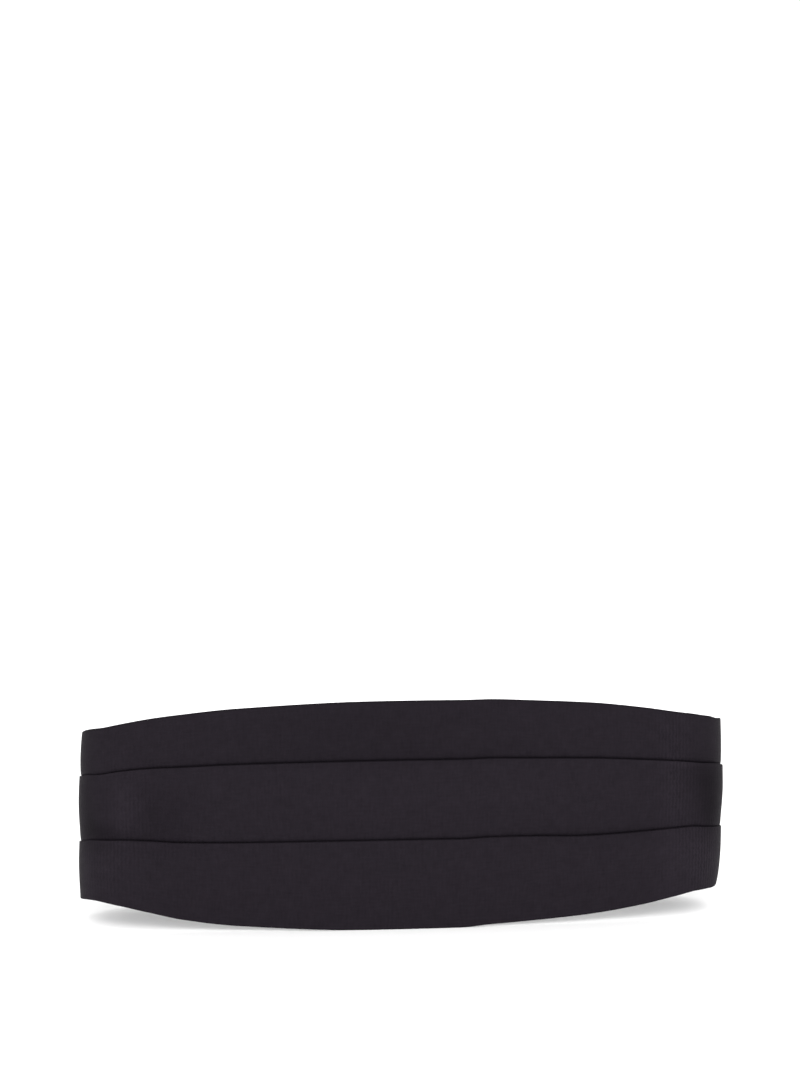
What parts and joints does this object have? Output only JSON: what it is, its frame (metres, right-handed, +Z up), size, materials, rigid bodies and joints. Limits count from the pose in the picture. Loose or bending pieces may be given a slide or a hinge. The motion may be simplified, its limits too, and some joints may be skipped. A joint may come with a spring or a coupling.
{
  "type": "cummerbund",
  "caption": "Pleated cloth waist sash fastened into a flattened ring that stands on its lower edge, with upward-opening pleats, tapered ends, narrow back straps and a plain slotted clasp.",
  "frame": {"origin": "on the floor under the middle of the ring's footprint", "axes": "+Z up, through the waist opening; the pleated front faces -Y and the clasp is at +Y; +X is to the right of someone who looks at the front"},
  "size_m": [0.369, 0.1182, 0.1266],
  "materials": {
    "satin": "black woven satin with a soft sheen",
    "strap_webbing": "black ribbed webbing, matte",
    "clasp_metal": "black lacquered metal, satin"
  },
  "bodies": {
    "root": {"pleated_front": "satin", "left_strap": "strap_webbing", "right_strap": "strap_webbing", "clasp": "clasp_metal"}
  },
  "joints": []
}
